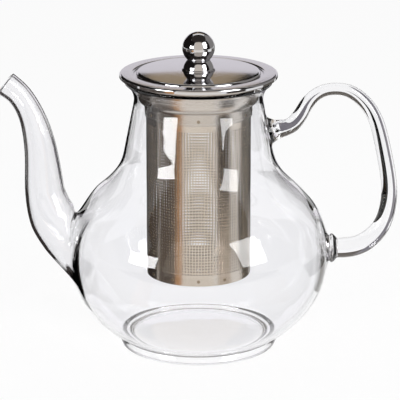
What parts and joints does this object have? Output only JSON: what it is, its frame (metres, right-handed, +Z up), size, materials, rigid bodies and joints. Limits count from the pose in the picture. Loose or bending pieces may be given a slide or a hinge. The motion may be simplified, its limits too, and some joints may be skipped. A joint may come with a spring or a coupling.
{
  "type": "teapot",
  "caption": "Clear glass teapot with a swan-neck spout and rod handle, a lift-out perforated steel infuser and a lift-off steel lid with a ball knob.",
  "frame": {"origin": "middle of the foot, on the surface that the pot stands on", "axes": "+Z up; +X from the spout to the handle; +Y across the pot"},
  "size_m": [0.2445, 0.1616, 0.1976],
  "materials": {
    "clear_glass": "clear fire-polished borosilicate",
    "satin_steel": "satin stainless steel",
    "etched_steel": "fine etched stainless steel sheet",
    "polished_steel": "polished stainless steel"
  },
  "bodies": {
    "pot": {"pot_base": "clear_glass", "pot_lower_bowl": "clear_glass", "pot_belly": "clear_glass", "pot_shoulder": "clear_glass", "pot_neck": "clear_glass", "foot_ring": "clear_glass", "spout_stem": "clear_glass", "spout_lip": "clear_glass", "handle": "clear_glass", "handle_upper_pad": "clear_glass", "handle_lower_pad": "clear_glass"},
    "infuser": {"infuser_collar": "satin_steel", "sieve_sleeve": "etched_steel", "sieve_floor": "etched_steel", "collar_spot_welds": "satin_steel", "floor_spot_welds": "satin_steel"},
    "lid": {"lid_shell": "polished_steel", "lid_skirt": "satin_steel", "skirt_spot_welds": "satin_steel", "knob_base": "polished_steel", "knob_ball": "polished_steel", "knob_screw": "satin_steel", "knob_washer": "satin_steel"}
  },
  "joints": [
    {"name": "infuser_lift", "type": "slide", "parent": "pot", "child": "infuser", "axis": [0, 0, 1], "range_m": [0, 0.13]},
    {"name": "lid_lift", "type": "slide", "parent": "infuser", "child": "lid", "axis": [0, 0, 1], "range_m": [0, 0.09]}
  ]
}
